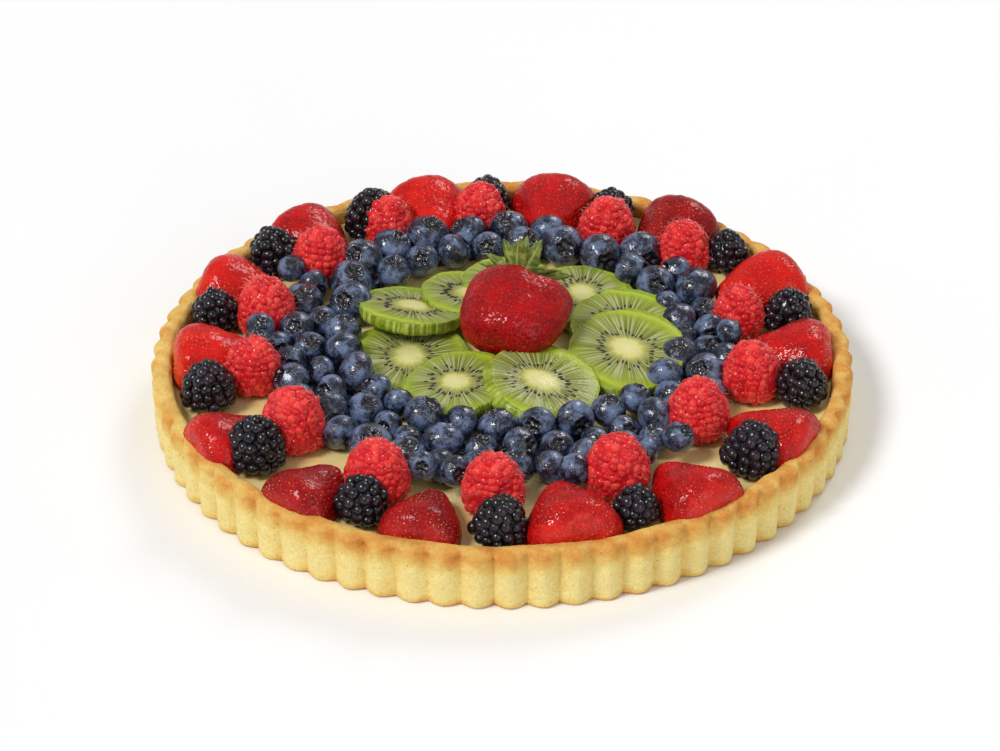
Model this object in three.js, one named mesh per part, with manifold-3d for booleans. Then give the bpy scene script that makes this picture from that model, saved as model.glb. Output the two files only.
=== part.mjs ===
// A round fruit tart, in millimetres, +Z up, origin at the centre of its underside.
// A fluted pastry case holds a disc of custard. On the custard stand, from the rim inwards: a ring of
// strawberry halves alternating with dark drupe berries, a ring of raspberries, a band of blueberries,
// a rosette of overlapping kiwi slices, and one whole strawberry with its leaves on top.
// Clock angles are in degrees: 0 is the front (-Y) and they grow towards +X.
import * as THREE from "three";
import { mergeVertices } from "three/addons/utils/BufferGeometryUtils.js";
import Module from "manifold-3d";

const wasm = await Module();
wasm.setup();

// ---- Driving dimensions ----
const RIM_RADIUS = 140; // outside of an 11 inch fluted case
const RIM_HEIGHT = 26;
const FOOT_RADIUS = 139;
const RIM_WIDTH = 8;
const RIM_CHAMFER = { down: 3, inwards: 2.5, flutes: 0.4 }; // flutes: the share of their depth left on top
const CASE_FLOOR = 5;
const FLUTES = 68;
const FLUTE_DEPTH = 2.6;
const FLUTE_TURN = -1.47; // clock angle of the groove nearest to the front
const STEPS_PER_FLUTE = 3;
const CUSTARD_TOP = 19;
const GAP = 0.3; // clearance between pieces that touch
const BED = CUSTARD_TOP + GAP; // the height on which the fruit stands
const DENT_GAP = 0.45; // how much larger a dent is, on every side, than the fruit that made it

const RING_COUNT = 14; // strawberries, dark berries and raspberries alike
const SECTOR = 360 / RING_COUNT;

const FRUIT_REACH = 130.2; // the outer ring of fruit ends here, just inside the wall of the case
const STRAWBERRY_LENGTH = 36;
const STRAWBERRY_RADIUS = 17.5;
const STRAWBERRY_SINK = 2.6; // how far below its axis the berry is cut
const STRAWBERRY_FLATNESS = 0.86; // its height above the axis as a share of its radius

const DARK_RADIUS = 10.8;
const DARK_HEIGHT = 19.5;

const RASPBERRY_RING = 100;
const RASPBERRY_CENTRE = [0, 5]; // the inner rings were laid a little towards the back
const RASPBERRY_RADIUS = 12.3;
const RASPBERRY_HEIGHT = 24;
const DRUPE_BUMP = 1.6; // how far the drupelets stand out

const BLUEBERRY_HEIGHT = 15;
const BLUEBERRY_COUNT = 26; // berries round the band
const BLUEBERRY_INNER = { centre: [5, 15], radius: 66 };
const BLUEBERRY_OUTER = { centre: [0, 8], radius: 89 };

const KIWI_CENTRE = [6, 15];
const KIWI_THICKNESS = 5.5;
const KIWI_BULGE = 1; // how far the peeled side stands out at mid thickness

const TOP_BERRY = { width: 43.5, length: 36, thickness: 28.5 };
const TOP_BERRY_AT = [2.2, 5.3, 40];
const TOP_BERRY_CLEFT = { depth: 0.1, width: 0.22 }; // shares of half its thickness and half its width
const TOP_BERRY_DIP = 14; // degrees that its tip points down
const TOP_BERRY_TURN = -18; // degrees from the front that its tip points
const LEAF_COUNT = 9;
const LEAF_LENGTH = 16;
const LEAF_FOOT = 4; // the leaves are joined up to this radius
const LEAF_THICKNESS = 1.2;

// How far each piece is turned from the even spacing of its ring, in degrees, by its place from the front.
const STRAWBERRY_TURNS = [-1, -2, -2, 2, 1, 3, 3, 1, 2, 0, 0, 3, 1, -1];
const DARK_TURNS = [-1, -1, 2, 2, 2, 1, 4, 3, 1, -1, -3, 0, -3, -2];
const RASPBERRY_TURNS = [-2, 0, 5, 0, 1, 6, 0, 5, 1, -3, -2, -3, -3, -1];
const STRAWBERRY_SIZES = [1.08, 1.02, 0.98, 0.98, 1.02, 1.02, 1.06, 1.02, 0.98, 0.96, 1.04, 0.94, 0.9, 0.92];
const DARK_SIZES = [1.08, 0.92, 1.14, 1.03, 1, 0.94, 0.98, 0.94, 1.18, 1.06, 1, 1.08, 1.18, 1.04];
const RASPBERRY_SIZES = [1.04, 1.08, 1.04, 1, 0.9, 0.94, 0.98, 0.92, 0.92, 0.98, 1.02, 0.96, 1.08, 1.08];
const RASPBERRY_SHIFTS = [2, 1, -7, 1, -2, 5, 0, 4, 5, 1, -1, 0, 0, 5]; // mm outwards from their ring

// The rosette in laying order, so each slice rests on the ones before it where they meet. Lean lowers a
// slice's side towards growing clock angles and pitch its outer side, in degrees. Lift is the height of
// its lowest edge.
const KIWI_SLICES = [
  { clock: 286, ring: 45, radius: 25.5, lean: 0, pitch: 0, lift: 0 },
  { clock: 329, ring: 45.5, radius: 21.5, lean: -8, pitch: 9, lift: 0.5 },
  { clock: 250, ring: 45.5, radius: 22.3, lean: -13, pitch: 0, lift: 0.5 },
  { clock: 215, ring: 34, radius: 20, lean: -7, pitch: 0, lift: 1.5 },
  { clock: 184, ring: 40, radius: 20, lean: -5, pitch: 0, lift: 1 },
  { clock: 140, ring: 41, radius: 21.5, lean: -4, pitch: 0, lift: 0.5 },
  { clock: 99, ring: 44, radius: 23, lean: -6, pitch: 0, lift: 1 },
  { clock: 70, ring: 46.5, radius: 24.6, lean: -9, pitch: 2, lift: 2 },
  { clock: 11, ring: 42, radius: 24.5, lean: 8, pitch: 8, lift: 2.5 },
];

// ---- Materials ----
const finish = (color, roughness) => new THREE.MeshStandardMaterial({ color, roughness, metalness: 0 });
const PASTRY = finish(0xe6b768, 0.85);
const CUSTARD = finish(0xf0dfae, 0.4);
const STRAWBERRY = finish(0xc41a1c, 0.25);
const RASPBERRY = finish(0xd42430, 0.45);
const DARK_BERRY = finish(0x17131c, 0.25);
const BLUEBERRY = finish(0x2b3450, 0.45);
const KIWI = finish(0x8fae32, 0.3);
const LEAF = finish(0x5c7f35, 0.6);

// ---- Helpers ----
const radians = THREE.MathUtils.degToRad;
const points = (...pairs) => pairs.map(([x, y]) => new THREE.Vector2(x, y));

// One closed surface: the vertices that meet at a seam or an edge become one.
function closed(geometry) {
  geometry.deleteAttribute("normal");
  geometry.deleteAttribute("uv");
  return mergeVertices(geometry, 1e-3);
}

// A solid of revolution about Y, and one about +Z, from a profile of radius and height.
const lathe = (profile, segments) => closed(new THREE.LatheGeometry(profile, segments));
const turned = (profile, segments) => lathe(profile, segments).rotateX(Math.PI / 2);

// Moves every vertex by a function of its place.
function reshape(geometry, move) {
  const place = geometry.attributes.position;
  const v = new THREE.Vector3();
  for (let i = 0; i < place.count; i++) {
    v.fromBufferAttribute(place, i);
    move(v);
    place.setXYZ(i, v.x, v.y, v.z);
  }
  return geometry;
}

// A mesh turned to a clock angle about a centre, so that its local -Y points outwards.
function atClock(name, geometry, material, clock, centre = [0, 0]) {
  const mesh = new THREE.Mesh(geometry, material);
  mesh.name = name;
  mesh.position.set(centre[0], centre[1], 0);
  mesh.rotation.z = radians(clock);
  return mesh;
}

// A mesh's shape as a solid, in the frame of another mesh, grown by a margin along its normals.
function solidOf(mesh, frame, margin = 0) {
  mesh.updateMatrixWorld(true);
  frame.updateMatrixWorld(true);
  const shape = mesh.geometry.clone();
  shape.computeVertexNormals();
  const normal = new THREE.Vector3();
  let i = 0;
  reshape(shape, (v) => {
    normal.fromBufferAttribute(shape.attributes.normal, i++);
    v.addScaledVector(normal, margin);
  });
  shape.applyMatrix4(mesh.matrixWorld).applyMatrix4(frame.matrixWorld.clone().invert());
  return new wasm.Manifold(
    new wasm.Mesh({
      numProp: 3,
      vertProperties: shape.attributes.position.array,
      triVerts: new Uint32Array(shape.index.array),
    }),
  );
}

// The largest body of a solid, as a geometry.
function largestBody(solid) {
  const bodies = solid.decompose();
  bodies.sort((a, b) => b.volume() - a.volume());
  const mesh = bodies[0].getMesh();
  return new THREE.BufferGeometry()
    .setAttribute("position", new THREE.BufferAttribute(mesh.vertProperties, 3))
    .setIndex(new THREE.BufferAttribute(mesh.triVerts, 1));
}

// Where two pieces would share space, the one laid first gives way, as soft fruit does.
function pressInto(lower, upper) {
  const below = solidOf(lower, lower);
  if (below.intersect(solidOf(upper, lower)).volume() === 0) return;
  lower.geometry = largestBody(below.subtract(solidOf(upper, lower, DENT_GAP)));
}

// ---- The pastry case ----
// 0 in the groove between two flutes and 1 on their rounded backs.
function fluteWave(angle) {
  return Math.abs(Math.sin((angle * FLUTES) / 2));
}

// The inside wall of the case: its radius at a height.
function wallRadius(z) {
  const lean = (RIM_RADIUS - FOOT_RADIUS) / RIM_HEIGHT;
  return FOOT_RADIUS - RIM_WIDTH + lean * z;
}

function pastryCase() {
  // Radius, height and how much of the flutes' depth shows there.
  const profile = [
    [0, 0, 0],
    [FOOT_RADIUS, 0, 1],
    [RIM_RADIUS, RIM_HEIGHT - RIM_CHAMFER.down, 1],
    [RIM_RADIUS - RIM_CHAMFER.inwards, RIM_HEIGHT, RIM_CHAMFER.flutes],
    [0, RIM_HEIGHT, 0],
  ];
  const outside = turned(points(...profile), FLUTES * STEPS_PER_FLUTE);
  reshape(outside, (v) => {
    const radius = Math.hypot(v.x, v.y);
    if (radius < GAP) return;
    const [, , share] = profile.find(([r, z]) => r > 0 && Math.abs(z - v.z) < GAP);
    const groove = FLUTE_DEPTH * share * (1 - fluteWave(Math.atan2(v.y, v.x)));
    v.x *= 1 - groove / radius;
    v.y *= 1 - groove / radius;
  });
  outside.rotateZ(radians(FLUTE_TURN));
  const mouth = RIM_HEIGHT + 1; // past the rim, so that the hollow is open
  const floor = CASE_FLOOR;
  const hollow = points([0, floor], [wallRadius(floor), floor], [wallRadius(mouth), mouth], [0, mouth]);
  const shell = new THREE.Mesh(outside, PASTRY);
  shell.name = "crust";
  const inside = new THREE.Mesh(turned(hollow, FLUTES));
  shell.geometry = largestBody(solidOf(shell, shell).subtract(solidOf(inside, shell)));
  return shell;
}

function custardDisc() {
  const low = CASE_FLOOR + GAP;
  const edge = (z) => wallRadius(z) - 2 * GAP;
  const profile = points([0, low], [edge(low), low], [edge(CUSTARD_TOP), CUSTARD_TOP], [0, CUSTARD_TOP]);
  return turned(profile, FLUTES / 2);
}

// ---- Fruit ----
// A strawberry cut lengthwise, cut face down: the tip points along +Y and the trimmed end along -Y.
function strawberryHalf(size) {
  const L = STRAWBERRY_LENGTH * size;
  const R = STRAWBERRY_RADIUS * size;
  const outline = [[0, 0], [0.74, 0], [1, 0.24], [0.86, 0.54], [0.48, 0.84], [0, 1]];
  const shape = lathe(points(...outline.map(([r, y]) => [r * R, (y - 0.5) * L])), 9);
  return reshape(shape, (v) => {
    v.z = Math.max(v.z * STRAWBERRY_FLATNESS, -STRAWBERRY_SINK) + STRAWBERRY_SINK;
  });
}

// A berry of drupelets standing on its open end. A checker of bumps and dips stands for the drupelets.
function drupeBerry(radius, height, bump) {
  const outline = [[0, 0], [0.76, 0], [1, 0.2], [1, 0.42], [0.88, 0.66], [0.56, 0.88], [0, 1]];
  const columns = 8;
  const rows = outline.map(([, z]) => z * height);
  const shape = turned(points(...outline.map(([r, z]) => [r * radius, z * height])), columns);
  return reshape(shape, (v) => {
    const column = Math.round((Math.atan2(v.y, v.x) / (2 * Math.PI)) * columns);
    const row = rows.findIndex((z) => Math.abs(z - v.z) < GAP);
    const out = (column + row) % 2 === 0 ? 1 : 1 - bump / radius;
    v.x *= out;
    v.y *= out;
  });
}

// One kiwi slice: a disc whose rim bulges at mid thickness.
function kiwiSlice(radius) {
  const t = KIWI_THICKNESS;
  const edge = radius - KIWI_BULGE;
  return turned(points([0, 0], [edge, 0], [radius, t / 2], [edge, t], [0, t]), 16);
}

// The band of blueberries, out to the uneven outline of its berries.
function blueberryBand() {
  // The band's section: how far across it, and how high, from its inner edge over two rows of berries.
  const innerRow = [[0, 0], [0, 0.5], [0.13, 0.92], [0.3, 0.96], [0.48, 0.72]];
  const outerRow = [[0.7, 1], [0.9, 0.85], [1, 0.5], [1, 0]];
  const section = [...innerRow, ...outerRow];
  const around = BLUEBERRY_COUNT * 2;
  const bands = section.length;
  const vertices = [];
  const faces = [];
  const edge = (ring, angle) => [
    ring.centre[0] + ring.radius * Math.cos(angle),
    ring.centre[1] + ring.radius * Math.sin(angle),
  ];
  for (let i = 0; i < around; i++) {
    const angle = (i / around) * 2 * Math.PI;
    const inner = edge(BLUEBERRY_INNER, angle);
    const outer = edge(BLUEBERRY_OUTER, angle);
    section.forEach(([across, up], j) => {
      const swell = Math.cos(angle * BLUEBERRY_COUNT + (across > 0.5 ? Math.PI : 0));
      const squeezed = 0.5 + (across - 0.5) * (0.97 + 0.03 * swell);
      const x = THREE.MathUtils.lerp(inner[0], outer[0], squeezed);
      const y = THREE.MathUtils.lerp(inner[1], outer[1], squeezed);
      vertices.push(x, y, BED + BLUEBERRY_HEIGHT * up * (0.9 + 0.1 * swell));
      const next = (i + 1) % around;
      const k = (j + 1) % bands;
      faces.push(i * bands + j, next * bands + k, next * bands + j);
      faces.push(i * bands + j, i * bands + k, next * bands + k);
    });
  }
  return new THREE.BufferGeometry()
    .setAttribute("position", new THREE.Float32BufferAttribute(vertices, 3))
    .setIndex(faces);
}

// The whole strawberry, lying along Y with its tip towards -Y: two shoulders with a cleft between them.
function topBerry() {
  const { width, length, thickness } = TOP_BERRY;
  const { depth, width: across } = TOP_BERRY_CLEFT;
  const tip = [[0, 0], [0.34, 0.05], [0.68, 0.22], [0.93, 0.5]];
  const shoulders = [[1, 0.74], [0.84, 0.94], [0.4, 1], [0, 0.96]];
  const outline = [...tip, ...shoulders];
  const shape = lathe(points(...outline.map(([r, y]) => [r, (y - 0.5) * length])), 14);
  return reshape(shape, (v) => {
    const cleft = v.z > 0 ? 1 - depth * Math.exp(-((v.x / across) ** 2)) : 1;
    v.x *= width / 2;
    v.z *= (thickness / 2) * cleft;
  });
}

// The leaves: a flat star with a short stub of stem, facing along +Y.
function calyx() {
  const star = new THREE.Shape();
  for (let i = 0; i < 2 * LEAF_COUNT; i++) {
    const reach = i % 2 ? LEAF_FOOT : LEAF_LENGTH;
    const angle = (i / LEAF_COUNT) * Math.PI + Math.PI / 2;
    star[i ? "lineTo" : "moveTo"](reach * Math.cos(angle), reach * Math.sin(angle));
  }
  const shape = closed(new THREE.ExtrudeGeometry(star, { depth: LEAF_THICKNESS, bevelEnabled: false }));
  return shape.rotateX(-Math.PI / 2);
}

// ---- Assembly ----
const tart = new THREE.Group();

const shell = pastryCase();
const custard = new THREE.Mesh(custardDisc(), CUSTARD);
custard.name = "custard";
tart.add(shell, custard);

const band = new THREE.Mesh(blueberryBand(), BLUEBERRY);
band.name = "blueberries";

const slices = KIWI_SLICES.map(({ clock, ring, radius, lean, pitch, lift }, i) => {
  const disc = kiwiSlice(radius).rotateY(radians(lean)).rotateX(radians(pitch));
  const rise = radius * Math.sin(radians(Math.hypot(lean, pitch)));
  disc.translate(0, -ring, BED + lift + rise);
  return atClock(`kiwi_${i + 1}`, disc, KIWI, clock, KIWI_CENTRE);
});

const strawberries = STRAWBERRY_TURNS.map((turn, i) => {
  const size = STRAWBERRY_SIZES[i];
  const ring = FRUIT_REACH - (STRAWBERRY_LENGTH * size) / 2;
  const half = strawberryHalf(size).translate(0, -ring, BED);
  return atClock(`strawberry_${i + 1}`, half, STRAWBERRY, (i + 0.5) * SECTOR + turn);
});

const darkBerries = DARK_TURNS.map((turn, i) => {
  const size = DARK_SIZES[i];
  const ring = FRUIT_REACH - DARK_RADIUS * size;
  const berry = drupeBerry(DARK_RADIUS * size, DARK_HEIGHT * size, DRUPE_BUMP).translate(0, -ring, BED);
  return atClock(`dark_berry_${i + 1}`, berry, DARK_BERRY, i * SECTOR + turn);
});

const raspberries = RASPBERRY_TURNS.map((turn, i) => {
  const size = RASPBERRY_SIZES[i];
  const berry = drupeBerry(RASPBERRY_RADIUS * size, RASPBERRY_HEIGHT * size, DRUPE_BUMP);
  berry.translate(0, -RASPBERRY_RING - RASPBERRY_SHIFTS[i], BED);
  return atClock(`raspberry_${i + 1}`, berry, RASPBERRY, i * SECTOR + turn, RASPBERRY_CENTRE);
});

const crown = new THREE.Group();
crown.position.set(...TOP_BERRY_AT);
crown.rotation.order = "ZXY";
crown.rotation.set(radians(TOP_BERRY_DIP), 0, radians(TOP_BERRY_TURN));
const topStrawberry = new THREE.Mesh(topBerry(), STRAWBERRY);
topStrawberry.name = "top_strawberry";
const leaves = new THREE.Mesh(calyx(), LEAF);
leaves.name = "top_leaves";
leaves.position.y = TOP_BERRY.length / 2 + LEAF_THICKNESS + GAP;
crown.add(topStrawberry, leaves);

tart.add(band, ...slices, ...strawberries, ...darkBerries, ...raspberries, crown);
tart.updateMatrixWorld(true);

// Laying order: what comes later lies on, or is pushed in between, what came before.
const laid = [band, ...slices, ...strawberries, ...darkBerries, ...raspberries, topStrawberry, leaves];
laid.forEach((lower, i) => laid.slice(i + 1).forEach((upper) => pressInto(lower, upper)));

export default tart;
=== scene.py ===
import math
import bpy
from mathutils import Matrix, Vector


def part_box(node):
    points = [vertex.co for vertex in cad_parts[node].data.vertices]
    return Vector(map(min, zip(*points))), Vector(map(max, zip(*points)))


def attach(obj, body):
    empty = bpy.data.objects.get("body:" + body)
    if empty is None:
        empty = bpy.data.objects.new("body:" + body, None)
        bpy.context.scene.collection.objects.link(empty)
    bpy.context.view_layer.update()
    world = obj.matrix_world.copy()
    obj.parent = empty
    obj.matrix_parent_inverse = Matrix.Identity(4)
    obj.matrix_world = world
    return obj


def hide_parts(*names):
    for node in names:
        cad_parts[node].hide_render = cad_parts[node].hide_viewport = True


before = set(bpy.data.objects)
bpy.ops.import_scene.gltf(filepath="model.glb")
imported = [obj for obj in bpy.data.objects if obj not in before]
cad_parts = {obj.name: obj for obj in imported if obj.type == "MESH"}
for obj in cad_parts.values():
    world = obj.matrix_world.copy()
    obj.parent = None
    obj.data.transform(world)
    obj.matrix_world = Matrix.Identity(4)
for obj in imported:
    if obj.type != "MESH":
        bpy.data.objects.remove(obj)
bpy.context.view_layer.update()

# A round fruit tart. Shapes are made in millimetres and become metres as each piece is built.
# Clock angles are counted from the front (-Y) and grow towards +X. A fruit is made in its own place, with -Y
# pointing to the rim, and is then turned to its clock angle.
from types import SimpleNamespace

import bpy
import numpy as np
from mathutils import Vector

MM = 0.001
TAU = 2 * math.pi
UP = np.array([0.0, 0.0, 1.0])


# ---- Measures that come from the frame ----
def node_box(name):
    """Lowest and highest corner of a CAD node, in millimetres."""
    low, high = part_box(name)
    return np.array(low) / MM, np.array(high) / MM


def nodes_of(kind):
    """The names of the CAD nodes of one kind of fruit, in their order round the tart."""
    names = [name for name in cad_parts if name.startswith(kind + "_")]
    return sorted(names, key=lambda name: int(name.rsplit("_", 1)[1]))


CASE_LOW, CASE_HIGH = node_box("crust")
RIM_RADIUS = (CASE_HIGH[0] - CASE_LOW[0]) / 2
RIM_HEIGHT = CASE_HIGH[2]
CUSTARD_LOW, CUSTARD_HIGH = node_box("custard")
CUSTARD_TOP = CUSTARD_HIGH[2]
CUSTARD_RADIUS = (CUSTARD_HIGH[0] - CUSTARD_LOW[0]) / 2
BED = node_box("blueberries")[0][2]

# ---- Named sizes of what the frame doesn't hold ----
FLUTES = 68
FLUTE_TURN = -1.47  # clock angle of the groove nearest to the front
FLUTE_DEPTH = 3.2
FLUTE_ROUNDNESS = 1.1  # 1 leaves a sharp groove between round backs; more softens the groove
COLUMNS_PER_FLUTE = 12
FOOT_TAPER = 1  # how much smaller the radius is at the foot
RIM_WIDTH = 8
RIM_ROUNDING = 3.2  # radius of the rim's outer edge
RIM_SHOULDER = 3.4  # how far below the top that edge starts to round
CASE_FLOOR = 5
CUSTARD_LIP = 2.4  # width of the custard's thin raised edge
CUSTARD_CLOSING = 0.3  # how far the custard runs into the wall, so that no gap shows

# A strawberry half before it is scaled to its node.
HALF_RADIUS = 17.5
HALF_LENGTH = 36
HALF_SINK = 2.6  # how far below its axis it is cut
HALF_SQUASH = 0.86  # its height, as a share of a round one's
HALF_TIP_LIFT = 2.5
HALF_SEED = 0.62  # how wide its dimples are, which its seeds follow
STREAK_STRETCH = 4  # how much longer than wide the streaks in strawberry skin are

BLUEBERRY_INNER = (4, 15, 62)  # centre x, centre y and radius of the band's inner edge
BLUEBERRY_OVERHANG = 7  # how far berries may reach past the CAD's band
BLUEBERRY_COUNT = 76
BLUEBERRY_RADII = (6.1, 8.6)
BLUEBERRY_ROOM = 1.02  # how far apart neighbours are pushed, as a share of the sum of their radii
PACKING_ROUNDS = 500
UPPER_COUNT = 9  # berries that lie on the others
UPPER_RADII = (5.8, 7)
UPPER_INNER = 73  # how far from the inner edge's centre they lie, at least
UPPER_HEIGHTS = (3, 14)  # how far over the bed: the lowest underside and the highest middle

KIWI_CENTRE = (6, 15)
KIWI_THICKNESS = 5.5
KIWI_OVAL = (0.82, 1.1)  # the core is wider one way: its place is multiplied by this
KIWI_SEEDS = 44
KIWI_TAPER = 0.03  # how much smaller a slice is on top, at most, as a share of its radius
TOP_SLICE_TAPER = 0.19  # the same for the slice laid last, which slants towards lower clock angles
# Clock angle, ring, radius, lean, pitch and lift of each slice, as the CAD lays them.
KIWI_SLICES = (
    (286, 45, 25.5, 0, 0, 0),
    (329, 45.5, 21.5, -8, 9, 0.5),
    (250, 45.5, 22.3, -13, 0, 0.5),
    (215, 34, 20, -7, 0, 1.5),
    (184, 40, 20, -5, 0, 1),
    (140, 41, 21.5, -4, 0, 0.5),
    (99, 44, 23, -6, 0, 1),
    (70, 46.5, 24.6, -9, 2, 2),
    (11, 42, 24.5, 8, 8, 2.5),
)

TOP_BERRY = (43.5, 36, 28.5)  # width, length and thickness
TOP_BERRY_DIP = 14
TOP_BERRY_TURN = -18
TOP_BERRY_CLEFT = 0.28  # where the cleft between its shoulders runs, as a share of its half width
TOP_BERRY_SEED = 0.8  # how wide its dimples are, which its seeds follow
TOP_BERRY_GIRTH = 20  # radius that its rows of seeds are counted for
TOP_BERRY_HOLLOW = (21, 18, 13)  # half width, half length and depth of the hollow it presses into the kiwi

LEAVES = 13
LEAF_LENGTH = 17
LEAF_THICKNESS = 0.45
STEM_RADIUS = 1.5
STEM_LENGTH = 7


# ---- Mesh helpers ----
def smooth_step(low, high, value):
    """0 below low, 1 above high, and smooth in between."""
    t = np.clip((np.asarray(value, float) - low) / (high - low), 0, 1)
    return t * t * (3 - 2 * t)


def ripple(points, wavelength, seed, waves=9):
    """Smooth noise over points: waves in seeded directions, mostly between -1 and 1."""
    rng = np.random.default_rng(seed)
    directions = rng.normal(size=(waves, 3))
    directions /= np.linalg.norm(directions, axis=1)[:, None]
    lengths = wavelength * rng.uniform(0.7, 1.4, waves)
    phases = rng.uniform(0, TAU, waves)
    turns = points @ (directions / lengths[:, None]).T * TAU + phases
    return np.sin(turns).sum(1) / math.sqrt(2 * waves)


def spline(knots, per_span):
    """A smooth line through the knots (Catmull-Rom), with so many points on each span."""
    knots = np.asarray(knots, float)
    padded = np.vstack([2 * knots[0] - knots[1], knots, 2 * knots[-1] - knots[-2]])
    t = np.linspace(0, 1, per_span, endpoint=False)[:, None]
    spans = []
    for a, b, c, d in zip(padded, padded[1:], padded[2:], padded[3:]):
        bend = 2 * a - 5 * b + 4 * c - d
        twist = 3 * b - a - 3 * c + d
        spans.append((2 * b + (c - a) * t + bend * t**2 + twist * t**3) / 2)
    return np.vstack(spans + [knots[-1:]])


def run_along(line):
    """How far each point lies along a line."""
    return np.concatenate([[0], np.cumsum(np.linalg.norm(np.diff(line, axis=0), axis=1))])


def arc(centre, radius, start, end, steps):
    """Points on an arc, from one angle to another in degrees."""
    angles = np.radians(np.linspace(start, end, steps))
    return np.column_stack([centre[0] + radius * np.cos(angles), centre[1] + radius * np.sin(angles)])


def turn_z(points, degrees):
    a = math.radians(degrees)
    return points @ np.array([[math.cos(a), math.sin(a), 0], [-math.sin(a), math.cos(a), 0], [0, 0, 1]])


def turn_x(points, degrees):
    a = math.radians(degrees)
    return points @ np.array([[1, 0, 0], [0, math.cos(a), math.sin(a)], [0, -math.sin(a), math.cos(a)]])


def turn_y(points, degrees):
    a = math.radians(degrees)
    return points @ np.array([[math.cos(a), 0, -math.sin(a)], [0, 1, 0], [math.sin(a), 0, math.cos(a)]])


def frame_on(normal, along):
    """Three unit rows: a side, a direction near along, and the normal."""
    normal = normal / np.linalg.norm(normal)
    side = np.cross(along, normal)
    if np.linalg.norm(side) < 1e-6:
        side = np.cross([1.0, 0.3, 0.1], normal)
    side = side / np.linalg.norm(side)
    return np.array([side, np.cross(normal, side), normal])


def tube_faces(rows, columns):
    """Quads between rows of points that close on themselves."""
    r, c = np.meshgrid(np.arange(rows - 1), np.arange(columns), indexing="ij")
    n = (c + 1) % columns
    quads = np.stack([r * columns + c, r * columns + n, (r + 1) * columns + n, (r + 1) * columns + c], -1)
    return quads.reshape(-1, 4)


def capped_tube(rings):
    """A closed surface through rings of points, with one more point at the middle of each end."""
    rows, columns = rings.shape[:2]
    vertices = np.vstack([rings.reshape(-1, 3), rings[0].mean(0), rings[-1].mean(0)])
    first, last = rows * columns, rows * columns + 1
    quads = tube_faces(rows, columns).tolist()
    start = [[first, (c + 1) % columns, c] for c in range(columns)]
    base = (rows - 1) * columns
    end = [[last, base + c, base + (c + 1) % columns] for c in range(columns)]
    return vertices, quads + start + end


def angles_round(columns):
    """So many even steps of a full turn."""
    return np.arange(columns) / columns * TAU


def rings_of(radius, angle, height):
    """Rows of points round Z."""
    return np.stack(np.broadcast_arrays(radius * np.cos(angle), radius * np.sin(angle), height), -1)


def ball(columns, rows):
    """A sphere of radius 1 with its poles on Z."""
    polar = np.linspace(math.pi, 0, rows + 1)[1:-1, None]
    vertices, faces = capped_tube(rings_of(np.sin(polar), angles_round(columns), np.cos(polar)))
    vertices[-2:] = [[0, 0, -1], [0, 0, 1]]
    return vertices, faces


def add_to_scene(name, data):
    made = bpy.data.objects.new(name, data)
    bpy.context.scene.collection.objects.link(made)
    return made


class Shape:
    """A mesh gathered from many parts, in millimetres. Its material reads a tone (a number) and a place (a
    vector) at each vertex."""

    def __init__(self):
        self.vertices, self.faces, self.slots, self.tones, self.places = [], [], [], [], []
        self.count = 0

    def add(self, vertices, faces, slot=0, tone=0.0, place=None):
        self.vertices.append(vertices)
        self.faces.extend([[i + self.count for i in face] for face in faces])
        self.slots.extend([slot] * len(faces))
        self.tones.append(np.broadcast_to(np.asarray(tone, float), len(vertices)))
        self.places.append(np.zeros_like(vertices) if place is None else place)
        self.count += len(vertices)

    def move(self, change):
        """Moves every part that was added so far."""
        self.vertices = [change(part) for part in self.vertices]

    def hand_over(self, name, materials, node):
        """Makes the piece with its materials, hangs it on the one body and hides its CAD node."""
        mesh = bpy.data.meshes.new(name)
        mesh.from_pydata((np.vstack(self.vertices) * MM).tolist(), [], self.faces)
        for material in materials:
            mesh.materials.append(material)
        mesh.polygons.foreach_set("material_index", self.slots)
        mesh.polygons.foreach_set("use_smooth", [True] * len(self.faces))
        tone = mesh.attributes.new("tone", "FLOAT", "POINT")
        tone.data.foreach_set("value", np.concatenate(self.tones).astype(np.float32))
        place = mesh.attributes.new("place", "FLOAT_VECTOR", "POINT")
        place.data.foreach_set("vector", np.vstack(self.places).astype(np.float32).ravel())
        mesh.update()
        piece = add_to_scene(name, mesh)
        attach(piece, "root")
        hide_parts(node)


# ---- Material helpers ----
def rgb(red, green, blue):
    """A colour as seen on screen, 0 to 255, turned into the linear one that a shader takes."""
    def linear(value):
        c = value / 255
        return c / 12.92 if c <= 0.04045 else ((c + 0.055) / 1.055) ** 2.4

    return (linear(red), linear(green), linear(blue), 1.0)


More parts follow.
